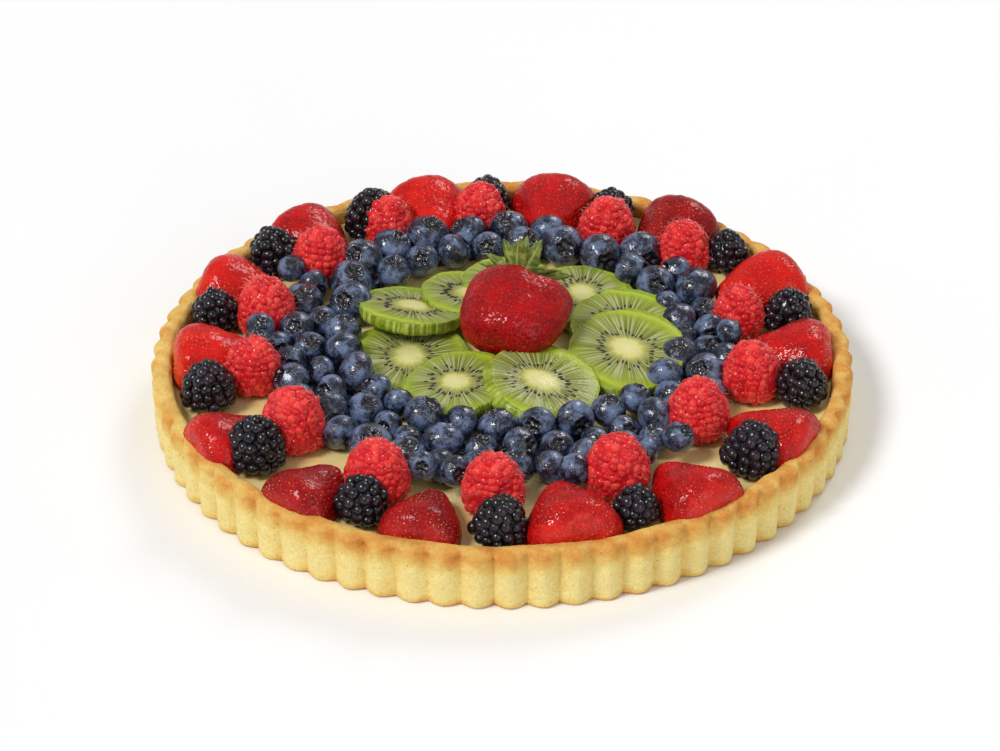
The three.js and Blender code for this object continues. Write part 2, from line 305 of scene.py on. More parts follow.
class Graph:
    """A material with a Principled shader. node() makes a node and sets or links its inputs, by their names
    or, as i0, i1 and so on, by their numbers."""

    def __init__(self, name, **shader):
        self.material = bpy.data.materials.new(name)
        self.material.use_nodes = True
        self.tree = self.material.node_tree
        self.shader = self.tree.nodes["Principled BSDF"]
        self.fill(self.shader, shader)

    def fill(self, node, values):
        for key, value in values.items():
            numbered = key[0] == "i" and key[1:].isdigit()
            socket = node.inputs[int(key[1:]) if numbered else key.replace("_", " ")]
            if isinstance(value, bpy.types.NodeSocket):
                self.tree.links.new(value, socket)
            else:
                socket.default_value = value

    def node(self, kind, settings=None, **values):
        made = self.tree.nodes.new("ShaderNode" + kind)
        for key, value in (settings or {}).items():
            setattr(made, key, value)
        self.fill(made, values)
        return made

    def value(self, name):
        return self.node("Attribute", {"attribute_name": name}).outputs["Fac"]

    def vector(self, name):
        return self.node("Attribute", {"attribute_name": name}).outputs["Vector"]

    def noise(self, scale, detail=3.0, roughness=0.5, vector=None):
        """Noise over the piece, whose patches are about 1/scale metres wide."""
        vector = vector or self.node("TexCoord").outputs["Object"]
        made = self.node("TexNoise", Vector=vector, Scale=scale, Detail=detail, Roughness=roughness)
        return made.outputs["Fac"]

    def math(self, operation, a, b=0.0, c=0.0, clamp=False):
        made = self.node("Math", {"operation": operation, "use_clamp": clamp}, i0=a, i1=b, i2=c)
        return made.outputs[0]

    def spread(self, value, low, high, to_low=0.0, to_high=1.0):
        """A value from low to high, spread smoothly over 0 to 1 or another range."""
        settings = {"clamp": True, "interpolation_type": "SMOOTHSTEP"}
        limits = {"From_Min": low, "From_Max": high, "To_Min": to_low, "To_Max": to_high}
        return self.node("MapRange", settings, Value=value, **limits).outputs["Result"]

    def shift(self, value, noise, amount):
        """A value moved up and down by noise, whose mean is one half."""
        return self.math("MULTIPLY_ADD", self.math("SUBTRACT", noise, 0.5), amount, value)

    def mix(self, share, first, second, blend="MIX"):
        return self.node("MixRGB", {"blend_type": blend}, Fac=share, Color1=first, Color2=second).outputs[0]

    def tint(self, color, share, strength, other):
        """A colour mixed with another where share is high, at most by strength."""
        return self.mix(self.math("MULTIPLY", share, strength), color, other)

    def ramp(self, share, *stops):
        made = self.node("ValToRGB", Fac=share)
        elements = made.color_ramp.elements
        while len(elements) < len(stops):
            elements.new(0.5)
        for element, (position, color) in zip(elements, stops):
            element.position = position
            element.color = color
        return made.outputs["Color"]

    def bump(self, height, distance, strength=1.0, normal=None):
        made = self.node("Bump", Height=height, Distance=distance * MM, Strength=strength)
        if normal is not None:
            self.tree.links.new(normal, made.inputs["Normal"])
        return made.outputs["Normal"]

    def soften(self, weight, *reach):
        """Lets light wander under the surface, so many metres in red, green and blue."""
        self.fill(self.shader, {"Subsurface_Weight": weight, "Subsurface_Radius": reach})

    def finish(self, **shader):
        self.fill(self.shader, shader)
        return self.material


def pastry_material():
    """Shortcrust: pale and sandy on the side, browned where tone is high. Tone holds the browning, and also
    painted shade in the flutes' grooves and a painted highlight on their backs.
    """
    g = Graph("pastry", Roughness=0.8, Specular_IOR_Level=0.2)
    g.soften(0.1, 0.004, 0.0025, 0.0012)
    patches = g.noise(70, 5, 0.65)
    mottle = g.noise(330, 4, 0.7)
    crumbs = g.noise(1100, 3, 0.7)
    uneven = g.shift(g.shift(g.value("tone"), patches, 0.4), mottle, 0.5)
    baked = g.ramp(
        uneven,
        (0.0, rgb(254, 234, 158)),
        (0.2, rgb(248, 218, 130)),
        (0.42, rgb(238, 190, 102)),
        (0.62, rgb(230, 162, 78)),
        (0.85, rgb(204, 130, 58)),
        (1.0, rgb(152, 88, 40)),
    )
    sand = g.mix(g.spread(crumbs, 0.4, 0.7), rgb(255, 255, 255), rgb(232, 214, 184))
    color = g.mix(0.5, baked, sand, "MULTIPLY")
    specks = g.spread(g.noise(820, 2, 0.5), 0.68, 0.76)
    color = g.tint(color, specks, 0.6, rgb(150, 92, 40))
    grain = g.bump(g.noise(1300, 4, 0.75), 0.5)
    pits = g.bump(g.noise(420, 4, 0.7), 0.9, normal=grain)
    return g.finish(Base_Color=color, Normal=pits)


def custard_material():
    """Set custard under a thin clear glaze."""
    g = Graph("custard", Roughness=0.38, Coat_Weight=0.35, Coat_Roughness=0.12)
    g.soften(0.3, 0.004, 0.003, 0.002)
    patches = g.noise(60, 3)
    color = g.ramp(patches, (0.3, rgb(240, 214, 136)), (0.7, rgb(248, 228, 164)))
    return g.finish(Base_Color=color, Normal=g.bump(g.noise(300, 2), 0.25))


def strawberry_material(name, deep, bright, shoulder):
    """Glazed strawberry skin. Tone is 0 at the tip and up to 1 at the end where the leaves were. Place is the
    spot on the berry in millimetres, shortened lengthwise, which draws the streaks out along the berry."""
    g = Graph(name, Roughness=0.42, Coat_Weight=0.42, Coat_Roughness=0.035, Specular_IOR_Level=0.05)
    g.soften(0.1, 0.004, 0.0003, 0.0002)
    patches = g.noise(110, 4, 0.6)
    red = g.mix(g.spread(patches, 0.35, 0.68), deep, bright)
    ripe = g.shift(g.value("tone"), patches, 0.4)
    color = g.mix(g.spread(ripe, 0.86, 1.1), red, shoulder)
    # Light flecks: partly the skin's own flecks, partly painted glints of the glaze.
    flecks_and_glints = g.spread(g.noise(1200, 2, 0.6), 0.56, 0.64)
    color = g.tint(color, flecks_and_glints, 0.45, g.mix(0.45, bright, rgb(244, 104, 74)))
    streaks = g.noise(1.1, 4, 0.65, vector=g.vector("place"))
    color = g.tint(color, g.spread(streaks, 0.54, 0.7), 0.4, bright)
    color = g.tint(color, g.spread(streaks, 0.46, 0.32), 0.45, deep)
    skin = g.bump(g.math("ADD", g.noise(900, 3, 0.6), streaks), 0.45)
    swells = g.bump(g.noise(190, 2, 0.5), 0.8, normal=skin)
    glaze = g.bump(g.noise(480, 2, 0.5), 0.42)
    return g.finish(Base_Color=color, Normal=swells, Coat_Normal=glaze)


def seed_material(name, low, middle, high):
    """Strawberry seeds under the glaze, in three shades."""
    g = Graph(name, Roughness=0.35, Coat_Weight=0.7, Coat_Roughness=0.08)
    color = g.ramp(g.noise(420, 2), (0.35, low), (0.52, middle), (0.68, high))
    return g.finish(Base_Color=color, Normal=g.bump(g.noise(3000, 2), 0.05))


def drupelet_material(name, low, middle, high, roughness, coat, subsurface, sheen=0.0):
    """Drupelets. Tone picks each one's colour. Sheen is the fine down on a raspberry."""
    g = Graph(name, Roughness=roughness, Coat_Weight=coat, Coat_Roughness=0.05, Specular_IOR_Level=0.15)
    g.soften(subsurface, 0.003, 0.0006, 0.0005)
    g.fill(g.shader, {"Sheen_Weight": sheen, "Sheen_Roughness": 0.35, "Sheen_Tint": rgb(255, 196, 190)})
    patches = g.noise(700, 3, 0.6)
    tone = g.shift(g.value("tone"), patches, 0.7)
    color = g.ramp(tone, (0.1, low), (0.5, middle), (0.9, high))
    return g.finish(Base_Color=color, Normal=g.bump(patches, 0.2), Coat_Normal=g.bump(patches, 0.06))


def hair_material():
    """The fine dry styles on a raspberry."""
    g = Graph("berry_hair", Roughness=0.6)
    color = g.ramp(g.noise(400, 2), (0.3, rgb(226, 150, 120)), (0.7, rgb(246, 214, 186)))
    return g.finish(Base_Color=color)


def blueberry_material():
    """Navy skin under a patchy pale bloom, wet with glaze. Place is the way from the berry's middle to the
    skin, with Z towards its crown, and tone is its hue."""
    g = Graph("blueberry", Coat_Weight=0.7, Coat_Roughness=0.05, Specular_IOR_Level=0.35)
    patches = g.noise(150, 5, 0.7)
    fine = g.noise(800, 4, 0.7)
    skin = g.mix(g.value("tone"), rgb(11, 17, 34), rgb(34, 23, 40))
    crown = g.node("SeparateXYZ", Vector=g.vector("place")).outputs["Z"]
    bloom = g.shift(g.spread(patches, 0.42, 0.65), fine, 0.9)
    bloom = g.math("MULTIPLY", bloom, g.spread(crown, 0.93, 0.86), clamp=True)
    color = g.tint(skin, bloom, 0.85, rgb(112, 131, 168))
    color = g.mix(g.spread(crown, 0.955, 0.985), color, rgb(24, 19, 22))
    rough = g.spread(bloom, 0.0, 1.0, 0.2, 0.5)
    dents = g.bump(g.noise(170, 3, 0.6), 1.8)
    pores = g.bump(fine, 0.18, normal=dents)
    glaze = g.bump(g.noise(230, 3, 0.55), 0.6)
    return g.finish(Base_Color=color, Roughness=rough, Normal=pores, Coat_Normal=glaze)


def kiwi_material():
    """Kiwi flesh. Place is the spot on the slice as shares of its radius. Tone is 1 on its outer side."""
    g = Graph("kiwi", Roughness=0.45, Coat_Weight=0.28, Coat_Roughness=0.14, Specular_IOR_Level=0.1)
    g.soften(0.2, 0.003, 0.004, 0.001)
    place = g.vector("place")
    radius = g.node("VectorMath", {"operation": "LENGTH"}, i0=place).outputs["Value"]
    heading = g.node("VectorMath", {"operation": "NORMALIZE"}, i0=place).outputs["Vector"]
    rays = g.noise(4, 2, 0.55, vector=heading)
    fine_rays = g.noise(19, 3, 0.65, vector=heading)
    blotches = g.noise(150, 4, 0.65)
    wobble = g.shift(g.shift(radius, rays, 0.16), blotches, 0.1)
    flesh = g.ramp(
        wobble,
        (0.0, rgb(220, 214, 150)),
        (0.2, rgb(212, 206, 134)),
        (0.27, rgb(178, 176, 84)),
        (0.36, rgb(116, 118, 40)),
        (0.56, rgb(126, 136, 40)),
        (0.8, rgb(142, 160, 34)),
        (0.94, rgb(176, 192, 58)),
        (1.0, rgb(140, 162, 38)),
    )
    reach = g.math("MULTIPLY", g.spread(radius, 0.24, 0.34), g.spread(radius, 0.92, 0.6))
    pale = g.math("MULTIPLY", g.spread(fine_rays, 0.48, 0.58), reach)
    dark = g.math("MULTIPLY", g.spread(fine_rays, 0.47, 0.37), reach)
    color = g.tint(flesh, pale, 0.75, rgb(190, 190, 148))
    color = g.tint(color, dark, 0.55, rgb(92, 98, 40))
    color = g.tint(color, g.spread(blotches, 0.5, 0.75), 0.3, rgb(182, 188, 92))
    grain = g.math("MULTIPLY_ADD", g.noise(240, 4, 0.6), 0.4, g.math("MULTIPLY", fine_rays, 0.6))
    side = g.ramp(grain, (0.38, rgb(92, 114, 20)), (0.5, rgb(140, 160, 38)), (0.62, rgb(196, 204, 108)))
    color = g.mix(g.value("tone"), color, side)
    grooves = g.bump(g.math("MULTIPLY", fine_rays, g.spread(radius, 0.1, 0.35)), 0.6)
    wet = g.bump(g.noise(220, 3, 0.6), 0.9, normal=grooves)
    pores = g.bump(g.noise(1000, 3, 0.6), 0.15, normal=wet)
    glaze = g.bump(g.noise(330, 2, 0.5), 0.3)
    return g.finish(Base_Color=color, Normal=pores, Coat_Normal=glaze)


def kiwi_seed_material():
    g = Graph("kiwi_seed", Roughness=0.4, Coat_Weight=0.3, Coat_Roughness=0.1)
    color = g.ramp(g.noise(600, 2), (0.3, rgb(16, 12, 8)), (0.8, rgb(46, 34, 22)))
    return g.finish(Base_Color=color)


def leaf_material():
    """Strawberry leaves. Tone is 0 at the midrib and 1 at the edge."""
    g = Graph("leaf", Roughness=0.5, Specular_IOR_Level=0.4)
    g.soften(0.2, 0.001, 0.002, 0.0005)
    patches = g.noise(200, 4, 0.65)
    color = g.ramp(patches, (0.32, rgb(62, 78, 24)), (0.5, rgb(112, 128, 46)), (0.68, rgb(184, 186, 104)))
    color = g.mix(g.spread(g.value("tone"), 0.2, 0.0), color, rgb(160, 176, 98))
    return g.finish(Base_Color=color, Normal=g.bump(g.noise(1400, 3, 0.6), 0.2))


def floor_material():
    g = Graph("floor", Roughness=0.6)
    color = g.ramp(g.noise(3, 2), (0.3, rgb(243, 243, 244)), (0.7, rgb(246, 246, 246)))
    return g.finish(Base_Color=color)


# ---- The pastry case ----
def case_section():
    """The case's section: points of radius and height, from the underside's middle outwards and round to the
    floor's middle. Each has a share of the flutes' depth and a browning."""
    foot = RIM_RADIUS - FOOT_TAPER
    inner = RIM_RADIUS - RIM_WIDTH
    high = RIM_HEIGHT
    brim = high - RIM_SHOULDER
    underside = np.array([(1, 0), (foot * 0.6, 0), (foot - 1.8, 0), (foot - 0.4, 0.5)])
    side_heights = np.linspace(1.4, brim, 20)
    side = np.column_stack([foot + FOOT_TAPER * side_heights / brim, side_heights])
    outer_edge = arc((RIM_RADIUS - RIM_ROUNDING, brim), RIM_ROUNDING, 0, 78, 8)[1:]
    crest = spline([outer_edge[-1], (inner + 4, high), (inner + 1.3, high - 0.2), (inner, high - 1.5)], 4)[1:]
    wall = np.linspace(crest[-1], (inner - 0.4, CUSTARD_TOP - 2), 8)[1:]
    floor = np.array([(inner - FOOT_TAPER, CASE_FLOOR), (inner / 2, CASE_FLOOR), (1, CASE_FLOOR)])
    line = np.vstack([underside, side, outer_edge, crest, wall, floor])
    shares = np.concatenate([
        np.array([0, 0, 1, 1]),
        np.ones(len(side)),
        np.linspace(0.9, 0.3, len(outer_edge)),
        0.2 * smooth_step(len(crest) / 2, 0, np.arange(len(crest))),
        np.zeros(len(wall) + len(floor)),
    ])
    browning = np.concatenate([
        np.full(len(underside), 0.5),
        0.56 * smooth_step(12.5, 24, side_heights) + 0.34 * smooth_step(5, 0.5, side_heights),
        np.linspace(0.58, 0.56, len(outer_edge)),
        np.linspace(0.54, 0.58, len(crest)),
        # Down the inner wall the colour darkens towards the custard, and the floor under the custard is
        # darkest.
        np.linspace(0.58, 0.7, len(wall)),
        np.ones(len(floor)),
    ])
    return line, shares, browning


def pastry_case(materials):
    """The fluted case, with a wavering rim, uneven flutes and a sandy surface."""
    line, shares, browning = case_section()
    columns = FLUTES * COLUMNS_PER_FLUTE
    angle = angles_round(columns)
    clock = angle + math.radians(FLUTE_TURN)
    circle = np.column_stack([np.cos(angle), np.sin(angle), 0 * angle])
    depth = FLUTE_DEPTH * (1 + 0.1 * ripple(circle, 0.3, 9))
    groove = 1 - np.abs(np.sin(angle * FLUTES / 2)) ** FLUTE_ROUNDNESS
    radius = line[:, 0][:, None] - shares[:, None] * depth * groove
    around = np.stack([np.sin(clock), -np.cos(clock), np.zeros(columns)], -1)
    rings = radius[:, :, None] * around + line[:, 1][:, None, None] * UP
    flat = rings.reshape(-1, 3)

    def between(low, high):
        """For each vertex, 0 where the section is at one height and 1 where it is at the other."""
        return np.repeat(smooth_step(low, high, line[:, 1]), columns)

    outward = np.broadcast_to(around, rings.shape).reshape(-1, 3)
    free = between(0, 3) * np.repeat(line[:, 0] > RIM_RADIUS / 2, columns)
    sag = 0.3 * ripple(flat, 26, 1) + 0.2 * ripple(flat, 7, 2)
    crumb = 0.12 * ripple(flat, 2.4, 3) + 0.08 * ripple(flat, 1.3, 4)
    flat = flat + outward * ((sag + crumb) * free)[:, None]
    waver = 0.35 * ripple(flat, 30, 5) + 0.2 * ripple(flat, 7, 6) + 0.1 * ripple(flat, 2, 7)
    flat[:, 2] += between(17, 25) * waver
    ground = flat * [1, 1, 0]
    spots = np.clip(0.5 + ripple(ground, 9, 12), 0, 1)
    # The grooves between the flutes get a darker, browner tone: partly browning, partly painted shade in the
    # creases.
    grooves = np.tile(groove, len(line)) * np.repeat(shares, columns)
    scorch_and_painted_light = np.repeat(browning, columns) + (0.16 + between(10, 24) * 0.06 * spots) * grooves
    # The rim's browning is uneven: stretches of it are paler at random, and it grows paler towards the left.
    stretches = 0.5 + 0.5 * ripple(ground, 70, 14)
    pale = np.clip(0.35 * stretches + 0.65 * smooth_step(0.2, 1, -flat[:, 0] / RIM_RADIUS), 0, 1)
    scorch_and_painted_light = scorch_and_painted_light + (0.2 * (spots - 0.5) - 0.2 * pale) * smooth_step(0.2, 0.5, scorch_and_painted_light)
    # Painted highlight: the round backs of the flutes are made paler on the lower side.
    scorch_and_painted_light = scorch_and_painted_light - 0.1 * np.tile(1 - groove, len(line)) * between(22, 12)
    shape = Shape()
    vertices, faces = capped_tube(flat.reshape(rings.shape))
    shape.add(vertices, faces, tone=np.clip(np.append(scorch_and_painted_light, [0.5, 1.0]), 0, 1))
    shape.hand_over("pastry_case", materials, "crust")


def custard_filling(materials):
    """The custard, with soft swells and a thin lip against the pastry."""
    edge = CUSTARD_RADIUS + CUSTARD_CLOSING
    radii = np.append(np.linspace(1, edge - 3, 40), np.linspace(edge - CUSTARD_LIP, edge, 5))
    columns = 120
    angle = angles_round(columns)
    around = np.stack([np.sin(angle), -np.cos(angle), np.zeros(columns)], -1)
    top = radii[:, None, None] * around + (CUSTARD_TOP - 0.2) * UP
    points = top.reshape(-1, 3)
    far = np.hypot(points[:, 0], points[:, 1])
    lip = 0.5 * smooth_step(CUSTARD_RADIUS - CUSTARD_LIP, CUSTARD_RADIUS, far)
    points[:, 2] += 0.3 * ripple(points, 22, 21) + 0.12 * ripple(points, 7, 22) + lip
    foot = (CUSTARD_RADIUS - 1.5) * around + CUSTARD_LOW[2] * UP
    rings = np.concatenate([around[None] + CUSTARD_LOW[2] * UP, foot[None], points.reshape(top.shape)[::-1]])
    vertices, faces = capped_tube(rings)
    shape = Shape()
    shape.add(vertices, faces)
    shape.hand_over("custard_filling", materials, "custard")


# ---- Strawberries ----
# From the end where the leaves were to the tip, as shares of the radius and the length.
HALF_OUTLINE = spline([
    (0, 0), (0.5, -0.01), (0.78, 0.03), (0.95, 0.12), (1, 0.24),
    (0.92, 0.4), (0.76, 0.57), (0.54, 0.75), (0.29, 0.91), (0, 1),
], 6)


def seed_rows(outline, radius, length, pitch, rng):
    """Where the seeds sit, in loose rows that are each turned half a step against the last. Each place is a
    radius, a position along the berry and an angle."""
    line = outline * [radius, length]
    run = run_along(line)
    places = []
    for row, at in enumerate(np.arange(pitch, run[-1] - pitch * 0.6, pitch * 0.82)):
        r = np.interp(at, run, line[:, 0])
        y = np.interp(at, run, line[:, 1])
        count = max(1, round(TAU * r / pitch))
        for k in range(count):
            stray = rng.uniform(-0.28, 0.28, 2)
            places.append((r, y + stray[0] * pitch, (k + (row % 2) / 2 + stray[1]) / count * TAU))
    return np.array(places)


def on_skin(places):
    """The points of such places."""
    r, y, angle = places.T
    return np.column_stack([r * np.cos(angle), y, -r * np.sin(angle)])


def press_seeds(shape, vertices, normals, spots, rng, size, sides):
    """Presses a dimple with a slight rim into the skin at each spot and lays a seed in it."""
    seed, seed_faces = ball(sides, 4)
    along = np.array([0, 1.0, 0])
    for spot in spots:
        gap = np.linalg.norm(vertices - spot, axis=1)
        near = gap < 3 * size
        nearest = np.argmin(gap)
        dimple = 0.5 * size * np.exp(-((gap[near] / size) ** 2))
        rim = 0.12 * size * np.exp(-(((gap[near] - 1.7 * size) / size) ** 2))
        vertices[near] -= normals[near] * (dimple - rim)[:, None]
        axes = frame_on(normals[nearest], along + rng.normal(0, 0.15, 3))
        sizes = np.array([0.34, 0.58, 0.26]) * size * rng.uniform(0.7, 1.25)
        shape.add(spot - normals[nearest] * 0.42 * size + (seed * sizes) @ axes, seed_faces, slot=1)


def revolve(outline, radius, length, angle, ends):
    """A closed berry round Y, from an outline of radius and length, with outward normals. Its end points lie
    on Y at ends."""
    line = outline[1:-1] * [radius, length]
    slope = np.gradient(line, axis=0)
    slope /= np.linalg.norm(slope, axis=1)[:, None]
    c, s = np.cos(angle), np.sin(angle)
    rings = np.stack([line[:, :1] * c, np.repeat(line[:, 1:], len(angle), 1), -line[:, :1] * s], -1)
    normals = np.stack([slope[:, 1:] * c, np.repeat(-slope[:, :1], len(angle), 1), -slope[:, 1:] * s], -1)
    vertices, faces = capped_tube(rings)
    vertices[-2:] = [[0, end, 0] for end in ends]
    return vertices, faces, np.vstack([normals.reshape(-1, 3), [0, -1, 0], [0, 1, 0]])


def strawberry_half(name, node, materials, seed):
    """Half a strawberry, cut face down, its tip towards the middle of the tart."""
    low, high = node_box(node)
    centre = (low + high) / 2
    rng = np.random.default_rng(seed)
    tall = (high[2] - BED) / (HALF_RADIUS * HALF_SQUASH + HALF_SINK)
    radius, length, sink = HALF_RADIUS * tall, HALF_LENGTH * tall, HALF_SINK * tall
    # Most columns lie on the part above the cut.
    angle = -np.concatenate([np.linspace(-0.3, math.pi + 0.3, 76), np.linspace(math.pi + 0.6, TAU - 0.6, 6)])
    vertices, faces, normals = revolve(HALF_OUTLINE, radius, length, angle[::-1], (0, length))
    own = vertices + seed * 50
    vertices += normals * (0.4 * ripple(own, 15, 31) + 0.15 * ripple(own, 5, 32))[:, None]
    shape = Shape()
    places = on_skin(seed_rows(HALF_OUTLINE, radius, length, rng.uniform(2.15, 2.4), rng))
    places = places[places[:, 2] > 1 - sink]
    press_seeds(shape, vertices, normals, places, rng, HALF_SEED, 4)
    tone = 1 - vertices[:, 1] / length
    vertices[:, 2] = np.maximum(vertices[:, 2], -sink)
    shape.add(vertices, faces, tone=tone, place=vertices * [1, 1 / STREAK_STRETCH, 1])
    clock = math.degrees(math.atan2(centre[0], -centre[1]))
    middle = [0, -length / 2 - math.hypot(centre[0], centre[1]), BED + sink * HALF_SQUASH + 0.35]

    def lay(points):
        """Flattens the half, lifts its tip and takes it to its clock angle."""
        lift = HALF_TIP_LIFT * smooth_step(0.5, 1, points[:, 1] / length)
        return turn_z(points * [1, 1, HALF_SQUASH] + UP * lift[:, None] + middle, clock)

    shape.move(lay)
    shape.hand_over(name, materials, node)


# ---- Berries of drupelets ----
# Outline from the open end to the tip, radius over height, radius and pitch of the drupelets, number of
# hairs, most degrees of lean, how far the core fills the gaps between drupelets, and the core's tone.
DARK_BERRY = SimpleNamespace(
    slot="dark_berry",
    outline=spline([
        (0.7, 0), (0.95, 0.1), (1, 0.25), (0.92, 0.47), (0.74, 0.69), (0.48, 0.87), (0.22, 0.97), (0, 1),
    ], 6),
    girth=10.8 / 19.5, bead=2.6, pitch=4.4, hairs=0, lean=16, fill=0.1, core_tone=0,
)
RASPBERRY = SimpleNamespace(
    slot="raspberry",
    outline=spline([
        (0.8, 0), (0.97, 0.1), (1, 0.28), (0.93, 0.5), (0.77, 0.71), (0.52, 0.88), (0.26, 0.97), (0, 1),
    ], 6),
    girth=12.3 / 24, bead=2.25, pitch=2.75, hairs=90, lean=8, fill=0.62, core_tone=0.3,
)


def drupe_berry(shape, kind, height, rng):
    """A berry standing on its open end: rows of drupelets round a core that shows between them."""
    bead = kind.bead
    body = kind.outline * [height * kind.girth - bead, height - bead * 1.9] + [0, bead * 0.9]
    run = run_along(body)
    rows = max(4, round(run[-1] / (kind.pitch * 0.86)))
    drop, drop_faces = ball(8, 6)
    core = body[:-1] + [bead * kind.fill, 0]
    shape.add(*capped_tube(rings_of(core[:, :1], angles_round(24), core[:, 1:])), tone=kind.core_tone)
    tips = []
    for row in range(rows + 1):
        at = run[-1] * row / rows
        r, z = np.interp(at, run, body[:, 0]), np.interp(at, run, body[:, 1])
        ahead = min(at + 0.5, run[-1])
        rise = np.array([np.interp(ahead, run, body[:, 0]) - r, np.interp(ahead, run, body[:, 1]) - z])
        if np.linalg.norm(rise) < 1e-6:
            rise = np.array([-1.0, 0.0])
        rise /= np.linalg.norm(rise)
        count = max(1, round(TAU * r / kind.pitch))
        start = rng.uniform(0, 0.4) + (row % 2) / 2
        for k in range(count):
            a = (k + start + rng.uniform(-0.14, 0.14)) / count * TAU
            out = np.array([math.cos(a) * rise[1], math.sin(a) * rise[1], -rise[0]])
            at_bead = np.array([r * math.cos(a), r * math.sin(a), z]) + rng.normal(0, bead * 0.12, 3)
            axes = frame_on(out, UP)
            sizes = bead * np.array([1, 1.05, 0.9]) * rng.uniform(0.84, 1.14, 3)
            shape.add(at_bead + (drop * sizes) @ axes, drop_faces, tone=rng.uniform(0.15, 0.85))
            tips.append((at_bead + out * bead * 0.95, out))
    for k in rng.choice(len(tips), min(kind.hairs, len(tips)), replace=False):
        add_hair(shape, *tips[k], rng)


def add_hair(shape, foot, out, rng):
    """One dry style: a thin curved spike."""
    bend = rng.normal(0, 1, 3)
    bend -= out * (bend @ out)
    length = rng.uniform(1.4, 2.8)
    t = np.linspace(0, 1, 4)[:, None]
    line = foot + out * t * length * 0.7 + bend * t**2 * length * 0.45
    axes = frame_on(out, UP + 0.01)
    corners = angles_round(3)
    section = np.outer(np.cos(corners), axes[0]) + np.outer(np.sin(corners), axes[1])
    rings = line[:, None, :] + section[None] * (0.11 * (1 - 0.7 * t))[:, None, :]
    shape.add(*capped_tube(rings), slot=1)


def drupe_piece(name, node, materials, kind, seed):
    """One berry of drupelets in the place of its CAD node, leaning a little and turned at random."""
    low, high = node_box(node)
    centre = (low + high) / 2
    rng = np.random.default_rng(seed)
    shape = Shape()
    drupe_berry(shape, kind, high[2] - low[2], rng)
    tilt, spin = rng.uniform(-kind.lean, kind.lean), rng.uniform(0, 360)
    shape.move(lambda points: turn_z(turn_x(points, tilt), spin) + [centre[0], centre[1], low[2]])
    shape.hand_over(name, materials, node)


# ---- Blueberries ----
def blueberry(rng, radius, crown):
    """One berry: a flattened ball with a five-pointed crown round a sunken eye, turned towards crown."""
    a = angles_round(32)
    crown_rows = np.radians([31, 27, 23.5, 20, 17, 13.5, 9, 4.5])
    p = np.concatenate([np.linspace(math.pi, 0.62, 13), crown_rows])[1:, None]
    # Five points stand up as a lip round the eye, which has a nub in its middle.
    points = np.abs(np.cos(2.5 * a + rng.uniform(0, TAU))) ** 1.3
    edge = np.radians(20 + 9 * points)
    size = 1 + 0.03 * np.cos(2 * a + rng.uniform(0, TAU)) * np.sin(p)
    lip = 0.085 * np.exp(-(((p - edge) / 0.085) ** 2)) * (0.55 + 0.75 * points)
    eye = -0.17 * smooth_step(0, 1, (edge - 0.05 - p) / 0.1)
    nub = 0.09 * np.exp(-((p / 0.09) ** 2))
    r = size * (1 + lip + eye + nub)
    unit = rings_of(np.sin(p), a, np.cos(p))
    rings = unit * r[:, :, None] * [1, 1, rng.uniform(0.76, 0.9)]
    vertices, faces = capped_tube(rings)
    heading = np.vstack([unit.reshape(-1, 3), [0, 0, -1], [0, 0, 1]])
    axes = frame_on(np.asarray(crown, float), rng.normal(size=3))
    return (vertices * radius) @ axes, faces, heading


def band_outer(grow):
    """Centre x, centre y and radius of the band's outer edge in the CAD, with so much added to the radius."""
    low, high = node_box("blueberries")
    return (low[0] + high[0]) / 2, (low[1] + high[1]) / 2, (high[0] - low[0]) / 2 + grow


def pack_band(rng, obstacles):
    """Places and radii of the lower berries: pushed apart until they fill the band without crowding."""
    inner, outer = BLUEBERRY_INNER, band_outer(BLUEBERRY_OVERHANG)
    count = BLUEBERRY_COUNT
    radii = rng.uniform(*BLUEBERRY_RADII, count)
    angle = angles_round(count)
    radii += 0.7 * smooth_step(0.2, 1, np.sin(angle))
    # More berries stand where the band is wide, towards the front.
    angle = angle - 0.35 * np.cos(angle)
    middle = np.array([(inner[0] + outer[0]) / 2, (inner[1] + outer[1]) / 2])
    ring = (inner[2] + outer[2]) / 2 + rng.uniform(-8, 8, count)
    at = middle + np.column_stack([np.cos(angle), np.sin(angle)]) * ring[:, None]
    for _ in range(PACKING_ROUNDS):
        apart = at[:, None] - at[None]
        gap = np.linalg.norm(apart, axis=2) + 1e-9
        push = np.clip((radii[:, None] + radii[None]) * BLUEBERRY_ROOM - gap, 0, None)
        np.fill_diagonal(push, 0)
        at = at + (apart / gap[:, :, None] * push[:, :, None]).sum(1) * 0.3
        for x, y, r in obstacles:
            away = at - [x, y]
            far = np.linalg.norm(away, axis=1)
            at = at + away / far[:, None] * (np.clip(radii * 0.85 + r - far, 0, None) * 0.5)[:, None]
        for (x, y, r), sign in ((inner, 1), (outer, -1)):
            away = at - [x, y]
            far = np.linalg.norm(away, axis=1)
            over = np.clip(sign * (r - far) + radii * 0.8, 0, None)
            at = at + sign * away / far[:, None] * (over * 0.7)[:, None]
    return at, radii


def rest_height(x, y, radius, balls):
    """How high a berry comes to rest on the berries below it."""
    apart = np.hypot(balls[:, 0] - x, balls[:, 1] - y)
    reach = balls[:, 3] + radius
    touching = apart < reach
    heights = balls[touching, 2] + np.sqrt(np.maximum(reach[touching] ** 2 - apart[touching] ** 2, 0))
    return max(BED + radius, heights.max() if touching.any() else 0)


